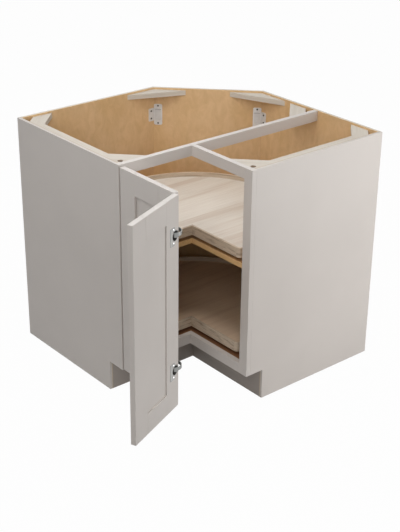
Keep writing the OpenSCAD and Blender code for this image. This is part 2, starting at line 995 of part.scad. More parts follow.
// A straight stroke with round ends between two points.
module stroke(from, to, width) {
  run = to - from;
  translate(from) rotate(atan2(run[1], run[0])) {
    translate([0, -width / 2]) square([norm(run), width]);
    circle(d = width, $fn = 24);
    translate([norm(run), 0]) circle(d = width, $fn = 24);
  }
}

module hinge_arm_screws() {
  for (z = [door_hinge_low, door_hinge_high])
    for (side = [-1, 1])
      translate([side_d - frame_t / 2, -stile_inner + arm_plate_t, z + side * arm_screw_span / 2])
        rotate([-90, 0, 0]) children();
}

module door_hinge_arm() {
  plate_inset = 1.5;
  difference() {
    union() {
      block_between([frame_back + plate_inset, -stile_inner, -arm_plate_h / 2],
        [side_d - plate_inset / 2, -stile_inner + arm_plate_t, arm_plate_h / 2]);
      translate([pivot_x, pivot_y, -arm_h / 2]) linear_extrude(arm_h) goose_neck_plan();
      translate([pivot_x, pivot_y, -eye_h / 2]) cylinder(h = eye_h, r = eye_r);
    }
    translate([pivot_x, pivot_y, -arm_h]) cylinder(h = 2 * arm_h, d = pin_d + 2 * pin_play);
  }
}

module door_hinge_arms() {
  color("silver") difference() {
    for (z = [door_hinge_low, door_hinge_high])
      translate([0, 0, z]) door_hinge_arm();
    hinge_arm_screws() screw_hole();
  }
}

module door_hinge_arm_screws() {
  color("dimgray") hinge_arm_screws() screw();
}

// ---- Fold hinge arms: an arch about the fold axis, from the left leaf into the right one ----

module fold_plate_screws() {
  plate_y = -leaf_inner - fold_plate_edge - fold_plate_w / 2;
  for (z = [fold_hinge_low, fold_hinge_high])
    for (side = [-1, 1])
      translate([leaf_back - arm_plate_t, plate_y, z + side * fold_screw_span / 2])
        rotate([0, -90, 0]) children();
}

module fold_hinge_arm() {
  arch_in = fold_arm_r - arm_t / 2;
  arch_out = fold_arm_r + arm_t / 2;
  foot_y = -leaf_inner - fold_plate_edge - fold_plate_w;
  block_between([leaf_back - arm_plate_t, foot_y, -fold_plate_h / 2],
    [leaf_back, foot_y + fold_plate_w, fold_plate_h / 2]);
  block_between([leaf_front - arch_out, foot_y + fold_foot_inset, -arm_h / 2],
    [leaf_back - arm_plate_t, foot_y + fold_plate_w - fold_foot_inset, arm_h / 2]);
  block_between([leaf_front - arch_out, foot_y + fold_foot_inset, -arm_h / 2],
    [leaf_front - arch_in, -leaf_front, arm_h / 2]);
  translate([leaf_front, -leaf_front, 0]) ring_sector(arch_in, arch_out, fold_tip, 180, arm_h);
}

module fold_hinge_arms() {
  color("silver") on_left_leaf() difference() {
    for (z = [fold_hinge_low, fold_hinge_high])
      translate([0, 0, z]) fold_hinge_arm();
    fold_plate_screws() screw_hole();
  }
}

// ---- Bumpers on the left leaf's back, where it meets the top and the bottom rail ----

module door_bumpers() {
  color("whitesmoke") on_left_leaf()
    for (z = [leaf_z + bumper_inset, leaf_z + leaf_h - bumper_inset])
      translate([leaf_back, -leaf_inner - 2 * bumper_inset, z]) rotate([0, -90, 0])
        cylinder(h = door_gap - bumper_clearance, d1 = bumper_d, d2 = bumper_d - bumper_taper);
}

// ---- Drawing ----

side_panel_left();
side_panel_right();
back_panel_left();
back_panel_diagonal();
back_panel_right();
cabinet_floor();
fixed_shelf();
stile_left();
stile_right();
top_rail_and_stretcher();
top_rail_right();
bottom_rail_left();
bottom_rail_right();
toe_board_left();
toe_board_right();
side_cleat_left();
side_cleat_right();
front_block_left();
front_block_right();
rear_block_left();
rear_block_right();
stretcher_block();
blunt_block_left();
blunt_block_right();
corner_bracket_left();
corner_bracket_right();
bracket_screws();
swivel_base_lower();
swivel_base_upper();
swivel_balls_lower();
swivel_balls_upper();
swivel_base_screws();
door_hinge_arms();
door_hinge_arm_screws();
left_leaf_hinge_stile();
left_leaf_fold_stile();
left_leaf_top_rail();
left_leaf_bottom_rail();
left_leaf_panel();
door_hinge_cups();
fold_hinge_arms();
left_leaf_screws();
door_bumpers();
right_leaf_fold_stile();
right_leaf_free_stile();
right_leaf_top_rail();
right_leaf_bottom_rail();
right_leaf_panel();
fold_hinge_cups();
fold_hinge_cup_screws();
lower_carousel_board();
lower_carousel_rim();
lower_carousel_nosing();
swivel_top_lower();
upper_carousel_board();
upper_carousel_rim();
upper_carousel_nosing();
swivel_top_upper();
swivel_top_screws_lower();
swivel_top_screws_upper();
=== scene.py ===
"""Finishes, hardware and studio for the corner carousel cabinet."""

import json
import math

import bmesh
import bpy
from bpy.props import FloatProperty, FloatVectorProperty, IntProperty, PointerProperty
from bpy.types import Operator, Panel, PropertyGroup
from mathutils import Matrix, Vector


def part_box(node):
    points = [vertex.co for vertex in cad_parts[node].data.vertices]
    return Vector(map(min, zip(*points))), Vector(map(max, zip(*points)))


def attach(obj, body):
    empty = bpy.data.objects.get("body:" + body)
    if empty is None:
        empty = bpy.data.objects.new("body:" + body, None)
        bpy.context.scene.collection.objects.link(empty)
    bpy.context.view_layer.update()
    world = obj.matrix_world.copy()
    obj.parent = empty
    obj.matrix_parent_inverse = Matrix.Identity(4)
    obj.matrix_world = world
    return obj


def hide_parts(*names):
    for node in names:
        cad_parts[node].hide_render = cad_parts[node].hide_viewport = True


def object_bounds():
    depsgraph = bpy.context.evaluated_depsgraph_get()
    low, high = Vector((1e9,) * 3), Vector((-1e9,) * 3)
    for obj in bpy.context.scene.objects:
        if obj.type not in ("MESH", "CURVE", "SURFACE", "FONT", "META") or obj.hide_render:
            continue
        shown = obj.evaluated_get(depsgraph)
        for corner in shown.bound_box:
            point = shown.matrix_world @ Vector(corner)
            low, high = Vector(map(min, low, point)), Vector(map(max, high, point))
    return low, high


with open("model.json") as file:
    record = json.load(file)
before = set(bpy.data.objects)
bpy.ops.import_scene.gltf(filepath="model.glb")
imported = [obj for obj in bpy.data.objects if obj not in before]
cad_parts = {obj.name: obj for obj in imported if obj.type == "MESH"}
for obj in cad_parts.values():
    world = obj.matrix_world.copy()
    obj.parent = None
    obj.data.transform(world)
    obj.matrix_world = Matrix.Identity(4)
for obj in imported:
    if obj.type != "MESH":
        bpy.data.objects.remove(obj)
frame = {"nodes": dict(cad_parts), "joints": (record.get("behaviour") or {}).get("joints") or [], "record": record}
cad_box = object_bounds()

bl_info = {
    "name": "Corner carousel cabinet",
    "version": (1, 0, 0),
    "blender": (4, 5, 0),
    "location": "3D View > Sidebar > Cabinet",
    "description": "Finishes, hardware and studio for the corner carousel cabinet",
    "category": "Object",
}

MM = 0.001
# A hair's breadth, by which places that are meant to be level may differ.
HAIR = 0.1 * MM
WHITE = (1.0, 1.0, 1.0, 1.0)
# The noise scale of the clouding on all the plated steel.
METAL_CLOUD = 60


def srgb(red, green, blue):
    """A display colour, each part from 0 to 255, as the linear colour that shaders take."""
    def linear(part):
        part /= 255
        return part / 12.92 if part <= 0.04045 else ((part + 0.055) / 1.055) ** 2.4
    return tuple(linear(part) for part in (red, green, blue))


# ---- Sizes and colours that a user would change ----


def colour(name, description, red, green, blue):
    return FloatVectorProperty(name=name, description=description, subtype="COLOR", size=3,
                               min=0, max=1, default=srgb(red, green, blue))


def length(name, description, millimetres):
    return FloatProperty(name=name, description=description, unit="LENGTH", min=0,
                         default=millimetres * MM)


class CabinetStage(PropertyGroup):
    azimuth: FloatProperty(name="Azimuth", description="Camera's way round the cabinet",
                           subtype="ANGLE", default=math.radians(49.926))
    elevation: FloatProperty(name="Elevation", description="Camera's angle above the horizon",
                             subtype="ANGLE", default=math.radians(25.681))
    roll: FloatProperty(name="Roll", description="Camera's turn about its own line of sight",
                        subtype="ANGLE", default=math.radians(0.65))
    distance: FloatProperty(name="Distance", description="From the camera to the cabinet's middle",
                            unit="LENGTH", default=4.317)
    slide_right: FloatProperty(name="Slide right", description="Camera's shift to its right",
                               unit="LENGTH", default=0.0138)
    slide_up: FloatProperty(name="Slide up", description="Camera's shift upwards",
                            unit="LENGTH", default=-0.1032)
    lens: FloatProperty(name="Lens", description="Focal length, on a 36 mm sensor",
                        unit="CAMERA", default=79.24)
    ambient: FloatProperty(name="Ambient", description="Strength of the light from all around",
                           default=0.15)
    light: FloatProperty(name="Light", description="Strength of all the lamps", default=1.0)
    floor: colour("Floor", "Colour of the floor", 176, 175, 174)


class CabinetFinish(PropertyGroup):
    paint: colour("Paint", "Lacquer on the doors, the face frame and the sides", 205, 198, 192)
    # Painted shade: the cabinet paint made darker for the shade in the toe space.
    toe_paint: colour("Toe paint", "Darker paint in the toe space", 158, 149, 142)
    ply: colour("Plywood", "Clear-coated inner faces of the panels", 219, 184, 139)
    ply_dark: colour("Plywood figure", "Darker bands in that plywood", 209, 173, 125)
    # Painted shade: the floor's top is a dark brown standing in for the shade in the low gap under the lower
    # shelf, and the fixed shelf's top is the plywood made darker for the shade in the gap under the upper shelf.
    floor_ply_painted_shade: colour("Floor plywood", "Stained face of the cabinet floor", 124, 84, 54)
    floor_figure_painted_shade: colour("Floor figure", "Darker bands in that plywood", 104, 66, 40)
    shelf_ply_and_shade: colour("Shelf plywood", "Face of the fixed shelf", 178, 136, 92)
    shelf_figure_and_shade: colour("Shelf figure", "Darker bands in that plywood", 160, 118, 76)
    amber: colour("Shelf edge", "Front edges of the floor and the fixed shelf", 222, 182, 128)
    veneer: colour("Veneer line", "Inner veneer, seen on the panels' top edges", 208, 174, 126)
    side_veneer: colour("Side veneer line", "The same line on the side panels", 188, 172, 150)
    ply_edge: colour("Plywood edge", "Cut edges of the panels", 214, 206, 194)
    block: colour("Blocks", "Bare hardwood of the blocks and cleats", 208, 200, 188)
    block_dark: colour("Block grain", "Darker grain in that hardwood", 190, 178, 163)
    # Painted shade: the dark brown in the countersunk mouths of the worktop screw holes.
    hole_shade: colour("Hole", "Darkened wood in the worktop screw holes", 122, 100, 78)
    shelf: colour("Shelves", "Pale boards of the turning shelves", 236, 230, 220)
    shelf_dark: colour("Shelf grain", "Darker streaks in those boards", 215, 202, 188)
    # Painted light: a warm tint on the lower board, standing in for the warm light bounced round the lower
    # compartment.
    lower_bounce_tint: colour("Lower shelf's warmth", "Tint of the lower board", 240, 218, 196)
    rim: colour("Rim", "Bent plywood and nosing round the turning shelves", 208, 190, 168)
    rim_dark: colour("Rim grain", "Darker grain in the rim", 150, 130, 110)
    zinc: colour("Zinc", "Plated steel of the brackets and bearings", 226, 225, 224)
    nickel: colour("Nickel", "Plated steel of the hinges", 176, 176, 174)
    arm_steel: colour("Arm steel", "Duller steel of the fold hinges' arms", 148, 149, 147)
    # Painted shade: the grey inside the fold hinges' cups, for the shade in their deep wells.
    well: colour("Hinge well", "Grey inside of the fold hinges' cups", 92, 90, 86)
    # Also black on the ends of the brackets' raised middles, as painted shade.
    dark_metal_and_shade: colour("Dark metal", "Blackened screws and hinge springs", 58, 54, 52)


class CabinetDetail(PropertyGroup):
    arris: length("Arris", "Rounding of the doors' outer edges", 1.4)
    countersink: length("Countersink", "Width round the worktop screw holes", 3.5)
    seam: length("Seam", "Rounding where the boards of a frame meet", 0.35)
    board_edge: length("Board edge", "Rounding of the carcass boards", 0.6)
    nosing_edge: length("Nosing edge", "Rounding of the turning shelves' nosings", 0.7)
    metal_edge: length("Metal edge", "Rounding of pressed steel", 0.35)
    edge_steps: IntProperty(name="Edge steps", description="Faces across a rounding", default=3,
                            min=1, max=6)


def stage_settings():
    return bpy.context.scene.cabinet_stage


def finish():
    return bpy.context.scene.cabinet_finish


def detail():
    return bpy.context.scene.cabinet_detail


# ---- Materials ----


class Finish:
    """A material under construction: its principled shader and short ways to feed it."""

    def __init__(self, name, roughness, metallic=0.0):
        self.material = bpy.data.materials.new(name)
        self.material.use_nodes = True
        self.tree = self.material.node_tree
        self.shader = self.tree.nodes["Principled BSDF"]
        self.shader.inputs["Roughness"].default_value = roughness
        self.shader.inputs["Metallic"].default_value = metallic

    def node(self, kind, **settings):
        made = self.tree.nodes.new(kind)
        for name, value in settings.items():
            setattr(made, name, value)
        return made

    def link(self, output, socket):
        self.tree.links.new(output, socket)

    def coordinates(self, source, turn=(0, 0, 0), stretch=(1, 1, 1), seed=0.0):
        """The piece's own coordinates, turned and then stretched, and moved on by the seed."""
        texture = self.node("ShaderNodeTexCoord")
        turned = self.node("ShaderNodeMapping")
        turned.inputs["Rotation"].default_value = turn
        turned.inputs["Location"].default_value = (seed, 2.3 * seed, 1.7 * seed)
        stretched = self.node("ShaderNodeMapping")
        stretched.inputs["Scale"].default_value = stretch
        self.link(texture.outputs[source], turned.inputs["Vector"])
        self.link(turned.outputs["Vector"], stretched.inputs["Vector"])
        return stretched.outputs["Vector"]

    def noise(self, vector, scale, detail_steps=3.0, roughness=0.55, distortion=0.0):
        made = self.node("ShaderNodeTexNoise")
        made.inputs["Scale"].default_value = scale
        made.inputs["Detail"].default_value = detail_steps
        made.inputs["Roughness"].default_value = roughness
        made.inputs["Distortion"].default_value = distortion
        self.link(vector, made.inputs["Vector"])
        return made.outputs["Fac"]

    def ramp(self, factor, stops):
        made = self.node("ShaderNodeValToRGB")
        elements = made.color_ramp.elements
        while len(elements) < len(stops):
            elements.new(0.5)
        for element, (place, shade) in zip(elements, stops):
            element.position = place
            element.color = (*shade, 1)
        self.link(factor, made.inputs["Fac"])
        return made.outputs["Color"]

    def mix(self, factor, first, second, blend="MIX"):
        made = self.node("ShaderNodeMix", data_type="RGBA", blend_type=blend)
        for name, value in (("Factor", factor), ("A", first), ("B", second)):
            socket = [s for s in made.inputs if s.name == name and s.enabled][0]
            if isinstance(value, bpy.types.NodeSocket):
                self.link(value, socket)
            else:
                socket.default_value = value
        return [s for s in made.outputs if s.enabled][0]

    def bump(self, height, distance, strength=1.0, under=None):
        made = self.node("ShaderNodeBump")
        made.inputs["Distance"].default_value = distance
        made.inputs["Strength"].default_value = strength
        self.link(height, made.inputs["Height"])
        if under is not None:
            self.link(under, made.inputs["Normal"])
        return made.outputs["Normal"]

    def roughen(self, factor, low, high):
        made = self.node("ShaderNodeMapRange")
        made.inputs["To Min"].default_value = low
        made.inputs["To Max"].default_value = high
        self.link(factor, made.inputs["Value"])
        self.link(made.outputs["Result"], self.shader.inputs["Roughness"])


def shade(tone, factor):
    return tuple(part * factor for part in tone)


def lacquer(name, tone, roughness=0.42):
    """Sprayed cabinet paint: even, satin, with the slight texture of the wood under it."""
    cloud_scale, gloss_scale, peel_scale, grain_scale = 2.6, 14, 420, 260
    peel_height, grain_height, grain_stretch = 0.06 * MM, 0.05 * MM, 0.06
    made = Finish(name, roughness)
    plain = made.coordinates("Object")
    cloud = made.noise(plain, cloud_scale, 3)
    base = made.ramp(cloud, [(0.3, shade(tone, 0.965)), (0.7, shade(tone, 1.03))])
    made.link(base, made.shader.inputs["Base Color"])
    peel = made.bump(made.noise(plain, peel_scale, 2), peel_height, 0.5)
    fibres = made.coordinates("Object", stretch=(1, 1, grain_stretch))
    grain = made.bump(made.noise(fibres, grain_scale, 2), grain_height, 0.35, under=peel)
    made.link(grain, made.shader.inputs["Normal"])
    made.roughen(made.noise(plain, gloss_scale, 2), roughness - 0.05, roughness + 0.07)
    return made.material


def wood(name, pale, dark, grain="X", streaks=26, length_of_streaks=18, fibre=0.3, seed=0.0,
         roughness=0.5, turn=0.0, source="Object", figure=0.0):
    """Clear-coated wood whose grain runs along an axis, then turned about +Z."""
    fibres_per_streak, blot_scale, fibre_height = 14, 34, 0.12 * MM
    made = Finish(name, roughness)
    quarter = math.pi / 2
    towards = {"X": (0, 0, -turn), "Y": (0, 0, -quarter), "Z": (0, quarter, 0)}[grain]
    long = 1 / length_of_streaks
    streaky = made.coordinates(source, towards, (long, 1, 1), seed)
    fine = made.coordinates(source, towards, (long * 0.4, 1, 1), seed + 3)
    bands = made.noise(streaky, streaks, 4, 0.5, 0.25)
    fibres = made.noise(fine, streaks * fibres_per_streak, 2, 0.6)
    base = made.ramp(bands, [(0.32, dark), (0.5, shade(pale, 0.97)), (0.72, pale)])
    threads = made.ramp(fibres, [(0.35, shade(dark, 0.9)), (0.62, pale)])
    base = made.mix(fibre, base, threads)
    if figure:
        blots = made.coordinates(source, towards, (0.55, 1, 1), seed + 5)
        cloud = made.ramp(made.noise(blots, blot_scale, 6, 0.66, 0.9),
                          [(0.33, (0.84, 0.80, 0.74)), (0.62, (1, 1, 1))])
        base = made.mix(figure, base, cloud, "MULTIPLY")
    made.link(base, made.shader.inputs["Base Color"])
    made.link(made.bump(fibres, fibre_height, 0.35), made.shader.inputs["Normal"])
    made.roughen(bands, roughness - 0.05, roughness + 0.08)
    return made.material


def panel_edge(name, core, veneer, inwards, points):
    """A panel's cut edge: a pale core, with the inner face's veneer as a thin line beside it."""
    core_ends, veneer_starts = 0.68, 0.76
    speckle_scale, speckle_height = 300, 0.1 * MM
    way = Vector(inwards).normalized()
    depths = [point.dot(way) for point in points]
    outer, thickness = min(depths), max(depths) - min(depths)
    made = Finish(name, 0.55)
    turned = made.coordinates("Object", (0, 0, math.atan2(-way.y, way.x)),
                              (1 / thickness, 1, 1), -outer)
    parts = made.node("ShaderNodeSeparateXYZ")
    made.link(turned, parts.inputs["Vector"])
    layers = made.ramp(parts.outputs["X"],
                       [(0, core), (core_ends, core), (veneer_starts, veneer)])
    speckle = made.noise(made.coordinates("Object"), speckle_scale, 2)
    cloud = made.ramp(speckle, [(0.3, (0.9, 0.89, 0.87)), (0.65, (1, 1, 1))])
    made.link(made.mix(0.8, layers, cloud, "MULTIPLY"), made.shader.inputs["Base Color"])
    made.link(made.bump(speckle, speckle_height, 0.4), made.shader.inputs["Normal"])
    return made.material


def plated(name, tone, roughness=0.34, metallic=1.0):
    """Plated steel: metal with a faint pressed grain and uneven gloss."""
    grain_scale, grain_height, gloss_scale = 900, 0.04 * MM, 180
    made = Finish(name, roughness, metallic)
    plain = made.coordinates("Object")
    cloud = made.noise(plain, METAL_CLOUD, 3)
    base = made.ramp(cloud, [(0.3, shade(tone, 0.9)), (0.7, tone)])
    made.link(base, made.shader.inputs["Base Color"])
    grain = made.bump(made.noise(plain, grain_scale, 2), grain_height, 0.4)
    made.link(grain, made.shader.inputs["Normal"])
    made.roughen(made.noise(plain, gloss_scale, 2), roughness - 0.06, roughness + 0.12)
    return made.material


def sunk_steel(name, tone, painted_shade_tone, outwards, surface):
    """Steel that reaches down into a cup: its own tone at the mouth, darkening with depth as painted shade."""
    mouth, bottom = surface - 1.8 * MM, surface - 4.2 * MM
    made = Finish(name, 0.36, metallic=1.0)
    turned = made.coordinates("Object", (0, 0, math.atan2(-outwards.y, outwards.x)),
                              (1 / (mouth - bottom), 1, 1), -bottom)
    parts = made.node("ShaderNodeSeparateXYZ")
    made.link(turned, parts.inputs["Vector"])
    # Painted shade: the tone darkens from the mouth down to the bottom.
    depth = made.ramp(parts.outputs["X"], [(0, shade(painted_shade_tone, 0.6)), (1, tone)])
    cloud = made.noise(made.coordinates("Object"), METAL_CLOUD, 3)
    worn = made.ramp(cloud, [(0.3, (0.9, 0.9, 0.9)), (0.7, (1, 1, 1))])
    made.link(made.mix(1.0, depth, worn, "MULTIPLY"), made.shader.inputs["Base Color"])
    made.roughen(cloud, 0.3, 0.48)
    return made.material


def coated_metal(name, tone, roughness=0.45):
    """Blackened or enamelled steel."""
    cloud_scale, grain_scale, grain_height = 240, 1400, 0.03 * MM
    made = Finish(name, roughness, metallic=0.35)
    plain = made.coordinates("Object")
    cloud = made.noise(plain, cloud_scale, 3)
    base = made.ramp(cloud, [(0.3, shade(tone, 0.75)), (0.7, shade(tone, 1.15))])
    made.link(base, made.shader.inputs["Base Color"])
    grain = made.bump(made.noise(plain, grain_scale, 2), grain_height, 0.4)
    made.link(grain, made.shader.inputs["Normal"])
    return made.material


def soft_bumper(name):
    """Clear soft plastic with a milky look."""
    cloud_scale, skin_scale, skin_height = 320, 700, 0.03 * MM
    made = Finish(name, 0.3)
    plain = made.coordinates("Object")
    cloud = made.noise(plain, cloud_scale, 2)
    milk = made.ramp(cloud, [(0.3, srgb(214, 214, 210)), (0.7, srgb(236, 236, 233))])
    made.link(milk, made.shader.inputs["Base Color"])
    made.shader.inputs["Subsurface Weight"].default_value = 0.3
    made.shader.inputs["Subsurface Scale"].default_value = 2 * MM
    skin = made.bump(made.noise(plain, skin_scale, 2), skin_height, 0.3)
    made.link(skin, made.shader.inputs["Normal"])
    return made.material


# ---- Pieces ----


def copy_of(node):
    """A CAD node's mesh as a clean bmesh: merged, with its flat faces whole again."""
    same_place, same_plane = 0.002 * MM, math.radians(0.4)
    mesh = bmesh.new()
    mesh.from_mesh(frame["nodes"][node].data)
    bmesh.ops.remove_doubles(mesh, verts=mesh.verts, dist=same_place)
    bmesh.ops.dissolve_limit(mesh, angle_limit=same_plane, verts=mesh.verts, edges=mesh.edges)
    return mesh


def arrises(mesh, sharper_than=35):
    """Outer edges where two faces meet at more than that angle, in degrees."""
    limit = math.radians(sharper_than)
    return [edge for edge in mesh.edges
            if edge.is_manifold and edge.is_convex and edge.calc_face_angle(0) > limit]


def ease(mesh, edges, width, steps=None):
    """Rounds those edges off."""
    if edges and width > 0:
        bmesh.ops.bevel(mesh, geom=edges, offset=width, offset_type="OFFSET", affect="EDGES",
                        segments=steps or detail().edge_steps, profile=0.5, material=-1,
                        clamp_overlap=True)


def add_piece(mesh, name, body, materials, stands_for=(), slot=None, soften=32):
    """Makes the bmesh an object that rides on a body and stands for those CAD nodes."""
    data = bpy.data.meshes.new(name)
    mesh.to_mesh(data)
    mesh.free()
    for material in materials:
        data.materials.append(material)
    for polygon in data.polygons:
        polygon.use_smooth = True
    data.set_sharp_from_angle(angle=math.radians(soften))
    piece = bpy.data.objects.new(name, data)
    bpy.context.scene.collection.objects.link(piece)
    even = piece.modifiers.new("even_shading", "WEIGHTED_NORMAL")
    even.keep_sharp = True
    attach(piece, body)
    if stands_for:
        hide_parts(*stands_for)
    return piece


def eased_node(node, suffix, body, materials, width, slot, choose=None, steps=None):
    """A CAD node with rounded edges; choose gives the material's number for a face."""
    mesh = copy_of(node)
    ease(mesh, arrises(mesh), width, steps)
    if choose:
        for face in mesh.faces:
            face.material_index = choose(face)
    return add_piece(mesh, f"{node}_{suffix}", body, materials, (node,), slot)


def islands(mesh):
    """The separate solids of a bmesh in its own order, each as a list of its vertices."""
    found, seen = [], set()
    for first in mesh.verts:
        if first in seen:
            continue
        seen.add(first)
        group = [first]
        # The group grows while it is gone through, until no neighbour is new.
        for vertex in group:
            for edge in vertex.link_edges:
                other = edge.other_vert(vertex)
                if other not in seen:
                    seen.add(other)
                    group.append(other)
        found.append(group)
    return found


def screw_places(node):
    """For each screw in a CAD node: its tip, the way to its head, its length and head radius."""
    mesh = copy_of(node)
    places = []
    for group in islands(mesh):
        points = [vertex.co.copy() for vertex in group]
        centre = sum(points, Vector()) / len(points)
        tip = max(points, key=lambda point: (point - centre).length)
        towards_head = (centre - tip).normalized()
        reach = max((point - tip).dot(towards_head) for point in points)
        across = max((point - tip - towards_head * (point - tip).dot(towards_head)).length
                     for point in points)
        places.append((tip, towards_head, reach, across))
    mesh.free()
    return sorted(places, key=lambda place: tuple(round(part, 4) for part in place[0]))


def screw_shape(reach, head_r):
    """A plain pan-head screw, its tip at the origin and its head along +Z."""
    head_h = 1.8 * MM
    shank_r = head_r / 2
    mesh = bmesh.new()
    outline = [(0, 0), (shank_r, 1.5 * MM), (shank_r, reach - head_h), (head_r, reach - head_h),
               (head_r, reach - 0.75 * head_h), (head_r * 0.93, reach - 0.4 * head_h),
               (head_r * 0.72, reach - 0.1 * head_h), (head_r * 0.4, reach), (0, reach)]
    chain = [mesh.verts.new((radius, 0, height)) for radius, height in outline]
    line = [mesh.edges.new(pair) for pair in zip(chain, chain[1:])]
    bmesh.ops.spin(mesh, geom=chain + line, cent=(0, 0, 0), axis=(0, 0, 1),
                   angle=2 * math.pi, steps=24, use_merge=True)
    bmesh.ops.remove_doubles(mesh, verts=mesh.verts, dist=0.001 * MM)
    bmesh.ops.recalc_face_normals(mesh, faces=mesh.faces)
    return mesh


def cross_recess(reach, head_r):
    """The cross that a driver goes into, as a solid to cut away."""
    mesh = bmesh.new()
    for turn in (0, math.pi / 2):
        box = bmesh.ops.create_cube(mesh, size=1)["verts"]
        bmesh.ops.scale(mesh, verts=box, vec=(1.15 * head_r, 0.26 * head_r, 2.2 * MM))
        bmesh.ops.rotate(mesh, verts=box, cent=(0, 0, 0), matrix=Matrix.Rotation(turn, 3, "Z"))
        bmesh.ops.translate(mesh, verts=box, vec=(0, 0, reach))
    return mesh


def loose_object(mesh, name):
    """The bmesh as an object that rides on no body."""
    data = bpy.data.meshes.new(name)
    mesh.to_mesh(data)
    mesh.free()
    made = bpy.data.objects.new(name, data)
    bpy.context.scene.collection.objects.link(made)
    return made


def difference(solid_mesh, cutter_mesh):
    """Mesh data of the first bmesh with the second cut away."""
    solid = loose_object(solid_mesh, "solid_pattern")
    cutter = loose_object(cutter_mesh, "cutter_pattern")
    cut = solid.modifiers.new("cut", "BOOLEAN")
    cut.object = cutter
    cut.operation = "DIFFERENCE"
    cut.use_self = True
    seen = bpy.context.evaluated_depsgraph_get()
    data = bpy.data.meshes.new_from_object(solid.evaluated_get(seen))
    for pattern in (solid, cutter):
        bpy.data.objects.remove(pattern)
    return data


def cross_head_screw(reach, head_r):
    """The screw with its recess cut, as mesh data that copies share."""
    return difference(screw_shape(reach, head_r), cross_recess(reach, head_r))


def dress_screws(node, body, material, slot):
    """Cross-head screws in the places of a CAD node's plain ones."""
    places = screw_places(node)
    # Lower heads than the CAD ones, some of which the shut door's stile only just touches.
    clearance, turn_of_next = 0.05 * MM, 0.7
    reach, head_r = places[0][2] - clearance, places[0][3]
    pattern = cross_head_screw(reach, head_r)
    mesh = bmesh.new()
    for number, (tip, towards_head, _, _) in enumerate(places):
        before = len(mesh.verts)
        mesh.from_mesh(pattern)
        mesh.verts.ensure_lookup_table()
        fresh = mesh.verts[before:]
        spin = Matrix.Rotation(turn_of_next * number, 3, "Z")
        turn = towards_head.to_track_quat("Z", "Y").to_matrix() @ spin
        bmesh.ops.rotate(mesh, verts=fresh, cent=(0, 0, 0), matrix=turn)
        bmesh.ops.translate(mesh, verts=fresh, vec=tip)
    bpy.data.meshes.remove(pattern)
    return add_piece(mesh, f"{node}_cross_head", body, [material], (node,), slot)


def facing(direction, tightness=0.9):
    """Tells whether a face looks that way."""
    way = Vector(direction).normalized()
    return lambda face: face.normal.dot(way) > tightness


# ---- Operators: one for each group of pieces, and one for the stage ----


class CABINET_OT_panels(Operator):
    """Side and back panels: painted outside, clear-coated plywood inside, layered edges"""
    bl_idname = "cabinet.panels"
    bl_label = "Side and back panels"

    def execute(self, context):
        tones = finish()
        paint = lacquer("panel_lacquer", tones.paint)
        plans = [
            ("side_panel_left", (0, -1, 0), paint, "painted_wood"),
            ("side_panel_right", (1, 0, 0), paint, "painted_wood"),
            ("back_panel_left", (-1, 0, 0), None, "natural_ply"),
            ("back_panel_right", (0, 1, 0), None, "natural_ply"),
            ("back_panel_diagonal", (-1, 1, 0), None, "natural_ply"),
        ]
        for number, (node, outwards, outside, slot) in enumerate(plans):
            inside = wood(f"{node}_ply", tones.ply, tones.ply_dark, "Z", streaks=8,
                          length_of_streaks=2.2, fibre=0.08, seed=1.3 * number + 0.4, figure=0.7,
                          roughness=0.42)
            inwards = [-part for part in outwards]
            points = [vertex.co for vertex in frame["nodes"][node].data.vertices]
            core, veneer = ((tones.paint, tones.side_veneer) if outside
                            else (tones.ply_edge, tones.veneer))
            edge = panel_edge(f"{node}_edge", core, veneer, inwards, points)
            out = facing(outwards)
            into = facing(inwards)

            def choose(face, out=out, into=into):
                return 0 if out(face) else 1 if into(face) else 2

            eased_node(node, "board", "cabinet", [outside or inside, inside, edge],
                       detail().board_edge, slot, choose, steps=2)
        return {"FINISHED"}


class CABINET_OT_shelves(Operator):
    """Cabinet floor and fixed shelf: plywood with an amber front edge"""
    bl_idname = "cabinet.shelves"
    bl_label = "Floor and fixed shelf"

    def execute(self, context):
        tones = finish()
        edge = wood("shelf_front_edge", tones.amber, shade(tones.amber, 0.72), "X", streaks=150,
                    length_of_streaks=40, seed=2.2)
        # The floor's dark brown top is painted shade; the fixed shelf's top is plywood made darker, partly painted
        # shade.
        plans = [("cabinet_floor", tones.floor_ply_painted_shade, tones.floor_figure_painted_shade),
                 ("fixed_shelf", tones.shelf_ply_and_shade, tones.shelf_figure_and_shade)]
        for number, (node, pale, dark) in enumerate(plans):
            face_wood = wood(f"{node}_ply", pale, dark, "Y", streaks=10, length_of_streaks=9,
                             fibre=0.22, seed=7 + number, figure=0.3)
            under = wood(f"{node}_under", tones.ply, tones.ply_dark, "Y", streaks=10,
                         length_of_streaks=9, seed=9 + number)

            def choose(face):
                return 0 if face.normal.z > 0.6 else 2 if face.normal.z < -0.6 else 1

            eased_node(node, "board", "cabinet", [face_wood, edge, under], detail().board_edge,
                       "natural_ply", choose, steps=2)
        return {"FINISHED"}


class CABINET_OT_face_frame(Operator):
    """Face frame: painted hardwood stiles and rails, with the stretcher"""
    bl_idname = "cabinet.face_frame"
    bl_label = "Face frame"

    def execute(self, context):
        paint = lacquer("frame_lacquer", finish().paint)
        for node in ("stile_left", "stile_right", "top_rail_and_stretcher", "top_rail_right",
                     "bottom_rail_left", "bottom_rail_right"):
            eased_node(node, "painted", "cabinet", [paint], detail().seam * 2, "painted_wood")
        return {"FINISHED"}


class CABINET_OT_toe_boards(Operator):
    """Toe boards: the paint made darker, as painted shade of the toe space"""
    bl_idname = "cabinet.toe_boards"
    bl_label = "Toe boards"

    def execute(self, context):
        paint = lacquer("toe_shaded_lacquer", finish().toe_paint, 0.55)
        for node in ("toe_board_left", "toe_board_right"):
            eased_node(node, "painted", "cabinet", [paint], detail().seam, "toe_paint")
        return {"FINISHED"}


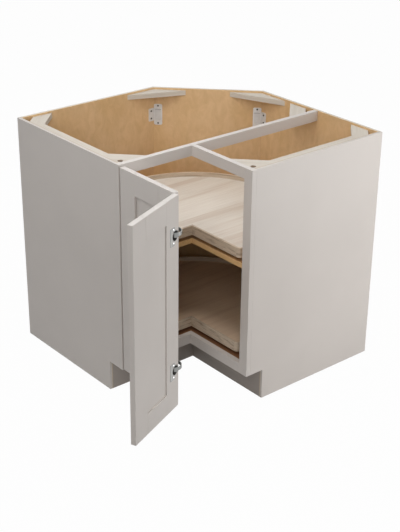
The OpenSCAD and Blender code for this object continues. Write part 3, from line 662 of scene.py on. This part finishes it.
class CABINET_OT_blocks(Operator):
    """Corner blocks and cleats: bare hardwood with its grain along each piece"""
    bl_idname = "cabinet.blocks"
    bl_label = "Corner blocks and cleats"

    # The blocks with a worktop screw hole, and the mounts that say where it is.
    drilled = {"front_block_left": "left_worktop_screw",
               "front_block_right": "right_worktop_screw"}

    def execute(self, context):
        tones = finish()
        eighth = math.pi / 4
        plans = [
            ("side_cleat_left", "X", 0), ("side_cleat_right", "Y", 0),
            ("front_block_left", "X", eighth), ("front_block_right", "X", eighth),
            ("rear_block_left", "X", -eighth), ("rear_block_right", "X", -eighth),
            ("stretcher_block", "X", -eighth),
            ("blunt_block_left", "X", 1.5 * eighth), ("blunt_block_right", "X", 0.5 * eighth),
        ]
        for number, (node, grain, turn) in enumerate(plans):
            bare = wood(f"{node}_wood", tones.block, tones.block_dark, grain, streaks=34,
                        length_of_streaks=16, fibre=0.3, seed=0.9 * number + 1, turn=turn,
                        roughness=0.6)
            if node in self.drilled:
                self.drilled_block(node, bare, self.drilled[node])
            else:
                eased_node(node, "bare", "cabinet", [bare], detail().board_edge, "block_wood")
        return {"FINISHED"}

    def drilled_block(self, node, bare, mount):
        """A block whose screw hole has a countersunk mouth, coloured dark brown as painted shade."""
        hole = next(m for m in frame["record"]["mounts"] if m["name"] == mount)
        centre = Vector(hole["pos_m"][:2])
        radius = hole["dims"]["r_mm"] * MM
        sink = detail().countersink
        spare = 0.2 * MM
        block = copy_of(node)
        top = max(vertex.co.z for vertex in block.verts)

        def within(vertex, reach):
            return (vertex.co.xy - centre).length < reach + spare

        ease(block, [edge for edge in arrises(block)
                     if not any(within(vertex, radius) for vertex in edge.verts)],
             detail().board_edge)
        cone = bmesh.new()
        bmesh.ops.create_cone(cone, cap_ends=True, segments=48, radius1=radius - sink,
                              radius2=radius + 2 * sink, depth=3 * sink)
        bmesh.ops.translate(cone, verts=cone.verts, vec=(*centre, top - sink / 2))
        mesh = bmesh.new()
        mesh.from_mesh(difference(block, cone))
        # The mouth's sloping faces take the dark brown, which is painted shade in the hole.
        for face in mesh.faces:
            mouth = all(within(vertex, radius + sink) for vertex in face.verts)
            face.material_index = 1 if mouth and face.normal.z < 0.95 else 0
        dark = wood(f"{node}_hole", finish().hole_shade, shade(finish().hole_shade, 0.7), "X", streaks=80,
                    length_of_streaks=4)
        add_piece(mesh, f"{node}_bare", "cabinet", [bare, dark], (node,), "block_wood")


class CABINET_OT_brackets(Operator):
    """Pressed steel corner brackets and their screws"""
    bl_idname = "cabinet.brackets"
    bl_label = "Corner brackets"

    # How far back from its front the raised middle's walls reach.
    wall_depth = 3.3 * MM

    def execute(self, context):
        tones = finish()
        zinc = plated("bracket_zinc", tones.zinc, 0.45, metallic=0.4)
        # Painted shade: the raised middle's zinc made darker, and its top and bottom faces black for the shade of
        # an open slot above and the shadow below.
        raised = plated("bracket_zinc_painted_shade", shade(tones.zinc, 0.88), 0.45, metallic=0.55)
        dark = coated_metal("bracket_screw_black", tones.dark_metal_and_shade)
        for node in ("corner_bracket_left", "corner_bracket_right"):
            eased_node(node, "pressed", "cabinet", [zinc, raised, dark], detail().metal_edge,
                       "zinc_steel", self.raised_test(node), steps=2)
        dress_screws("bracket_screws", "cabinet", dark, "dark_screw")
        return {"FINISHED"}

    def raised_test(self, node):
        """Tells a face's material: the plate's, the raised middle's darker zinc, or the black of its ends; the
        darker zinc and the black ends are painted shade.
        """
        into, along = Vector((1, -1, 0)).normalized(), Vector((1, 1, 0)).normalized()
        plain = copy_of(node)
        front = max((face for face in plain.faces if face.normal.dot(into) > 0.99),
                    key=lambda face: face.calc_center_median().dot(into))
        corners = [vertex.co.copy() for vertex in front.verts]
        plain.free()
        depth = corners[0].dot(into)
        spans = [(into, depth - self.wall_depth, depth + HAIR)]
        for way in (along, Vector((0, 0, 1))):
            places = [corner.dot(way) for corner in corners]
            spans.append((way, min(places) - HAIR, max(places) + HAIR))

        def choose(face):
            place = face.calc_center_median()
            if not all(low < place.dot(way) < high for way, low, high in spans):
                return 0
            # Faces of the middle that look up or down are black, painted shade; its other faces take the darker
            # zinc, also painted shade.
            return 2 if abs(face.normal.z) > 0.8 else 1

        return choose


class CABINET_OT_carousels(Operator):
    """Turning shelves: boards, bent rims and nosings"""
    bl_idname = "cabinet.carousels"
    bl_label = "Turning shelves"

    def execute(self, context):
        tones = finish()
        for number, level in enumerate(("lower", "upper")):
            body = f"{level}_carousel"
            # The lower board's tint is painted light, the warm bounce in the lower compartment.
            warmth = (tones.lower_bounce_tint if level == "lower" else WHITE)[:3]
            pale, dark = (tuple(part * share for part, share in zip(tone, warmth))
                          for tone in (tones.shelf, tones.shelf_dark))
            board = wood(f"{body}_board_wood", pale, dark, "Y", streaks=30,
                         length_of_streaks=22, fibre=0.34, seed=3.1 * number + 0.6)
            eased_node(f"{body}_board", "veneered", body, [board], detail().seam, "shelf_wood")
            self.rim(f"{body}_rim", body, number)
            nosing = [wood(f"{body}_nosing_{grain}", tones.rim, tones.rim_dark, grain, streaks=190,
                           length_of_streaks=10, fibre=0.25, seed=number + 5.5)
                      for grain in ("X", "Y")]

            def choose(face):
                place = face.calc_center_median()
                return 0 if place.x + place.y > 0 else 1

            eased_node(f"{body}_nosing", "solid", body, nosing, detail().nosing_edge, "rim_wood",
                       choose)
        return {"FINISHED"}

    def rim(self, node, body, number):
        """The bent rim: its grain follows the bend, through a UV map of arc length and height."""
        tones = finish()
        mesh = copy_of(node)
        ease(mesh, arrises(mesh), 0.5 * detail().nosing_edge, 2)
        centre = Vector(self.centre(body))
        unrolled = mesh.loops.layers.uv.new("bend")
        for face in mesh.faces:
            face.material_index = 1 if abs(face.normal.z) > 0.7 else 0
            for loop in face.loops:
                out = loop.vert.co.xy - centre
                around = math.atan2(-out.x - out.y, out.y - out.x)
                loop[unrolled].uv = (around * out.length, loop.vert.co.z)
        bent = wood(f"{node}_wood", tones.rim, tones.rim_dark, "X", streaks=110,
                    length_of_streaks=22, fibre=0.3, seed=number + 2.5, source="UV")
        edge = wood(f"{node}_edge", shade(tones.rim, 1.12), tones.rim, "X", streaks=40,
                    length_of_streaks=20, fibre=0.3, seed=number + 4.5)
        add_piece(mesh, f"{node}_bent", body, [bent, edge], (node,), "rim_wood")

    def centre(self, body):
        """Where the axis that the shelf turns on stands."""
        joint = next(j for j in frame["joints"] if j["child"] == body)
        return joint["pos_m"][:2]


class CABINET_OT_bearings(Operator):
    """Flat swivel bearings under the turning shelves, with their balls and screws"""
    bl_idname = "cabinet.bearings"
    bl_label = "Swivel bearings"

    def execute(self, context):
        zinc = plated("bearing_zinc", finish().zinc, 0.38)
        polished = plated("ball_steel", finish().zinc, 0.12)
        dark = coated_metal("bearing_screw_black", finish().dark_metal_and_shade)
        for level in ("lower", "upper"):
            eased_node(f"swivel_base_{level}", "pressed", "cabinet", [zinc], detail().metal_edge,
                       "zinc_steel", steps=2)
            eased_node(f"swivel_top_{level}", "pressed", f"{level}_carousel", [zinc],
                       detail().metal_edge, "zinc_steel", steps=2)
            self.balls(f"swivel_balls_{level}", polished)
            dress_screws(f"swivel_top_screws_{level}", f"{level}_carousel", dark, "dark_screw")
        dress_screws("swivel_base_screws", "cabinet", dark, "dark_screw")
        return {"FINISHED"}

    def balls(self, node, material):
        """Round balls in the places of the CAD ones."""
        source = copy_of(node)
        mesh = bmesh.new()
        for group in islands(source):
            points = [vertex.co.copy() for vertex in group]
            low = Vector([min(point[i] for point in points) for i in range(3)])
            high = Vector([max(point[i] for point in points) for i in range(3)])
            made = bmesh.ops.create_icosphere(mesh, subdivisions=3, radius=(high.z - low.z) / 2)
            bmesh.ops.translate(mesh, verts=made["verts"], vec=(low + high) / 2)
        source.free()
        add_piece(mesh, f"{node}_polished", "cabinet", [material], (node,), "bearing_steel", 60)


class CABINET_OT_doors(Operator):
    """The two door leaves: painted frames and recessed panels, and the bumpers"""
    bl_idname = "cabinet.doors"
    bl_label = "Door leaves"

    def execute(self, context):
        paint = lacquer("door_lacquer", finish().paint, 0.4)
        for side in ("left", "right"):
            body = f"door_leaf_{side}"
            nodes = [n for n in frame["record"]["behaviour"]["bodies"][body]
                     if n.startswith(f"{side}_leaf") and not n.endswith("screws")]
            points = [vertex.co.copy() for node in nodes
                      for vertex in frame["nodes"][node].data.vertices]
            for node in nodes:
                self.member(node, body, points, paint)
        eased_node("door_bumpers", "clear", "door_leaf_left", [soft_bumper("bumper_clear")],
                   detail().seam, "clear_bumper")
        return {"FINISHED"}

    def member(self, node, body, points, paint):
        """A stile, rail or panel: the leaf's outer edges well rounded, its seams barely."""
        end_zone = 12 * MM
        mesh = copy_of(node)
        low = min(point.z for point in points)
        high = max(point.z for point in points)
        middle = sum((point.xy for point in points), Vector((0, 0))) / len(points)
        spread = max((point.xy - middle).length for point in points)

        def outermost(edge):
            ends = [vertex.co for vertex in edge.verts]
            if all(min(abs(end.z - low), abs(end.z - high)) < HAIR for end in ends):
                return True
            return all((end.xy - middle).length > spread - end_zone for end in ends)

        sharp = arrises(mesh)
        outer = [edge for edge in sharp if outermost(edge)]
        inner = [edge for edge in sharp if not outermost(edge)]
        ease(mesh, outer, detail().arris)
        ease(mesh, [edge for edge in inner if edge.is_valid], detail().seam, 2)
        add_piece(mesh, f"{node}_painted", body, [paint], (node,), "painted_wood")


class CABINET_OT_door_hinges(Operator):
    """Cup hinges between the cabinet and the left leaf"""
    bl_idname = "cabinet.door_hinges"
    bl_label = "Door hinges"

    def execute(self, context):
        nickel = plated("door_hinge_nickel", finish().nickel, 0.32)
        dark = coated_metal("door_hinge_screw_black", finish().dark_metal_and_shade)
        eased_node("door_hinge_cups", "pressed", "door_leaf_left", [nickel], detail().metal_edge,
                   "nickel_steel", steps=2)
        eased_node("door_hinge_arms", "pressed", "cabinet", [nickel], detail().metal_edge,
                   "nickel_steel", steps=2)
        dress_screws("door_hinge_arm_screws", "cabinet", dark, "dark_screw")
        dress_screws("left_leaf_screws", "door_leaf_left", dark, "dark_screw")
        return {"FINISHED"}


def fold_back_normal():
    """Which way the right leaf's back faces."""
    panel = frame["nodes"]["right_leaf_panel"].data
    biggest = max(panel.polygons, key=lambda polygon: polygon.area)
    return -biggest.normal if biggest.normal.x < 0 else biggest.normal.copy()


class CABINET_OT_fold_hinges(Operator):
    """Curved hinges between the two leaves"""
    bl_idname = "cabinet.fold_hinges"
    bl_label = "Fold hinges"

    # The guides' ring about the fold, and half of their height.
    guide_ring = (22.4 * MM, 29.6 * MM)
    guide_half_height = 8.5 * MM

    def execute(self, context):
        nickel = plated("fold_hinge_nickel", finish().nickel, 0.3)
        arm_steel = plated("fold_arm_steel", finish().arm_steel, 0.36)
        # The grey of the cups' insides is painted shade.
        well = coated_metal("fold_hinge_cup_painted_shade", finish().well)
        bright = plated("fold_hinge_screw_bright", WHITE[:3], 0.25)
        eased_node("fold_hinge_arms", "pressed", "door_leaf_left", [arm_steel],
                   detail().metal_edge, "nickel_steel", steps=2)
        guide = self.guide_test()
        corners = frame["nodes"]["right_leaf_fold_stile"].data.vertices
        outwards = fold_back_normal()
        surface = max(corner.co.dot(outwards) for corner in corners)
        # The guides' steel darkens with depth as painted shade.
        sunk = sunk_steel("fold_guide_steel", finish().arm_steel, finish().well, outwards, surface)

        def choose(face):
            if guide(face):
                return 2
            # Faces sunk below the leaf's back take the grey, painted shade in the cup.
            return 1 if face.calc_center_median().dot(outwards) < surface + HAIR else 0

        eased_node("fold_hinge_cups", "pressed", "door_leaf_right", [nickel, well, sunk],
                   detail().metal_edge, "nickel_steel", choose, steps=2)
        dress_screws("fold_hinge_cup_screws", "door_leaf_right", bright, "nickel_steel")
        return {"FINISHED"}

    def guide_test(self):
        """Tells whether a face of the cups belongs to the guides that the arms slide in."""
        joint = next(j for j in frame["joints"] if j["child"] == "door_leaf_right")
        axis = Vector(joint["pos_m"][:2])
        cups = copy_of("fold_hinge_cups")
        heights = [sum(vertex.co.z for vertex in group) / len(group) for group in islands(cups)]
        cups.free()

        def inside(point):
            level = min(abs(point.z - height) for height in heights)
            return (level < self.guide_half_height
                    and self.guide_ring[0] < (point.xy - axis).length < self.guide_ring[1])

        return lambda face: all(inside(vertex.co) for vertex in face.verts)


class CABINET_OT_stage(Operator):
    """Camera at the photograph's angle, soft lamps and a pale floor"""
    bl_idname = "cabinet.stage"
    bl_label = "Camera, lamps and floor"

    # Each soft lamp's place, what it is aimed at, its width and its power in watts.
    lamps = (
        ("front_lamp", (3.1, -3.4, 2.6), (0.5, -0.5, 0.4), 2.4, 52.5),
        ("rear_lamp", (-2.2, 0.6, 3.4), (0.45, -0.45, 0.45), 2.4, 35),
        ("left_lamp", (0.1, -2.2, 2.6), (0.5, -0.6, 0.8), 1.1, 12.5),
        ("right_lamp", (2.1, 0.5, 1.6), (0.9, -0.1, 0.7), 1.0, 8.0),
        ("low_right_lamp", (2.3, 0.6, 0.6), (0.9, -0.2, 0.5), 1.0, 13),
        ("inside_lamp", (0.9, -1.0, 2.8), (0.3, -0.3, 0.7), 0.8, 17),
    )

    def execute(self, context):
        stage = stage_settings()
        low, high = cad_box
        self.camera(stage)
        self.world(stage)
        for name, place, aim, size, power in self.lamps:
            self.lamp(name, place, aim, size, power * stage.light)
        self.floor(stage, low.z)
        context.scene.view_settings.view_transform = "Standard"
        return {"FINISHED"}

    def camera(self, stage):
        """The camera, placed by its angles about the middle of the carcass."""
        sides = [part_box(f"side_panel_{side}") for side in ("left", "right")]
        width, height = sides[1][1].x, sides[1][1].z
        aim = Vector((width / 2, -width / 2, height / 2))
        flat = math.cos(stage.elevation)
        back = Vector((math.sin(stage.azimuth) * flat, -math.cos(stage.azimuth) * flat,
                       math.sin(stage.elevation)))
        right = Vector((0, 0, 1)).cross(back).normalized()
        up = back.cross(right)
        place = aim + back * stage.distance + right * stage.slide_right + up * stage.slide_up
        turned_right = right * math.cos(stage.roll) + up * math.sin(stage.roll)
        turned_up = up * math.cos(stage.roll) - right * math.sin(stage.roll)
        data = bpy.data.cameras.new("camera")
        data.lens = stage.lens
        data.sensor_width = 36
        data.clip_start, data.clip_end = 0.1, 60
        made = bpy.data.objects.new("camera", data)
        bpy.context.scene.collection.objects.link(made)
        made.matrix_world = (Matrix.Translation(place)
                             @ Matrix((turned_right, turned_up, back)).transposed().to_4x4())
        bpy.context.scene.camera = made

    def world(self, stage):
        """White where the camera or a gloss sees it, and dim as a light."""
        world = bpy.data.worlds.new("studio")
        bpy.context.scene.world = world
        world.use_nodes = True
        tree = world.node_tree
        background = tree.nodes["Background"]
        background.inputs["Color"].default_value = WHITE
        path = tree.nodes.new("ShaderNodeLightPath")
        seen = tree.nodes.new("ShaderNodeMath")
        seen.operation = "MAXIMUM"
        tree.links.new(path.outputs["Is Camera Ray"], seen.inputs[0])
        tree.links.new(path.outputs["Is Glossy Ray"], seen.inputs[1])
        strength = tree.nodes.new("ShaderNodeMapRange")
        strength.inputs["To Min"].default_value = stage.ambient
        strength.inputs["To Max"].default_value = 1.0
        tree.links.new(seen.outputs["Value"], strength.inputs["Value"])
        tree.links.new(strength.outputs["Result"], background.inputs["Strength"])

    def lamp(self, name, place, aim, size, power):
        """A square soft lamp."""
        data = bpy.data.lights.new(name, "AREA")
        data.shape = "SQUARE"
        data.size = size
        data.energy = power
        made = bpy.data.objects.new(name, data)
        bpy.context.scene.collection.objects.link(made)
        away = Vector(place) - Vector(aim)
        made.location = place
        made.rotation_euler = away.to_track_quat("Z", "Y").to_euler()

    def floor(self, stage, height):
        """A pale floor under the cabinet, which the camera and glosses see as nearly white."""
        half_width, middle, gap, share_seen_white = 14, (0.45, -0.45), 0.4 * MM, 0.98
        mesh = bmesh.new()
        bmesh.ops.create_grid(mesh, x_segments=1, y_segments=1, size=half_width)
        bmesh.ops.translate(mesh, verts=mesh.verts, vec=(*middle, height - gap))
        floor = loose_object(mesh, "floor")
        made = Finish("floor_paint", 0.8)
        made.shader.inputs["Base Color"].default_value = (*stage.floor, 1)
        made.shader.inputs["Specular IOR Level"].default_value = 0.1
        glow = made.node("ShaderNodeEmission")
        glow.inputs["Color"].default_value = WHITE
        glow.inputs["Strength"].default_value = 1.0
        path = made.node("ShaderNodeLightPath")
        seen = made.node("ShaderNodeMath", operation="MAXIMUM")
        made.link(path.outputs["Is Camera Ray"], seen.inputs[0])
        made.link(path.outputs["Is Glossy Ray"], seen.inputs[1])
        share = made.node("ShaderNodeMath", operation="MULTIPLY")
        share.inputs[1].default_value = share_seen_white
        both = made.node("ShaderNodeMixShader")
        made.link(seen.outputs["Value"], share.inputs[0])
        made.link(share.outputs["Value"], both.inputs["Fac"])
        made.link(made.shader.outputs["BSDF"], both.inputs[1])
        made.link(glow.outputs["Emission"], both.inputs[2])
        made.link(both.outputs["Shader"], made.tree.nodes["Material Output"].inputs["Surface"])
        floor.data.materials.append(made.material)


# ---- The sidebar, registration and the run ----


OPERATORS = (
    CABINET_OT_stage,
    CABINET_OT_panels,
    CABINET_OT_shelves,
    CABINET_OT_face_frame,
    CABINET_OT_toe_boards,
    CABINET_OT_blocks,
    CABINET_OT_brackets,
    CABINET_OT_carousels,
    CABINET_OT_bearings,
    CABINET_OT_doors,
    CABINET_OT_door_hinges,
    CABINET_OT_fold_hinges,
)


class CABINET_PT_sidebar(Panel):
    """Lists the cabinet's settings and its pieces, in the order that they are made"""
    bl_idname = "CABINET_PT_sidebar"
    bl_label = "Corner carousel cabinet"
    bl_space_type = "VIEW_3D"
    bl_region_type = "UI"
    bl_category = "Cabinet"

    def draw(self, context):
        for settings in (stage_settings(), finish(), detail()):
            box = self.layout.box()
            for name in settings.bl_rna.properties.keys():
                if name not in {"rna_type", "name"}:
                    box.prop(settings, name)
        for operator in OPERATORS:
            self.layout.operator(operator.bl_idname)


SETTINGS = {
    "cabinet_stage": CabinetStage,
    "cabinet_finish": CabinetFinish,
    "cabinet_detail": CabinetDetail,
}


def register():
    for name, group in SETTINGS.items():
        bpy.utils.register_class(group)
        setattr(bpy.types.Scene, name, PointerProperty(type=group))
    for each in (*OPERATORS, CABINET_PT_sidebar):
        bpy.utils.register_class(each)


def unregister():
    for each in (CABINET_PT_sidebar, *reversed(OPERATORS)):
        bpy.utils.unregister_class(each)
    for name, group in SETTINGS.items():
        delattr(bpy.types.Scene, name)
        bpy.utils.unregister_class(group)


def main():
    register()
    for operator in OPERATORS:
        group, name = operator.bl_idname.split(".")
        getattr(getattr(bpy.ops, group), name)()


if __name__ == "__main__":
    main()
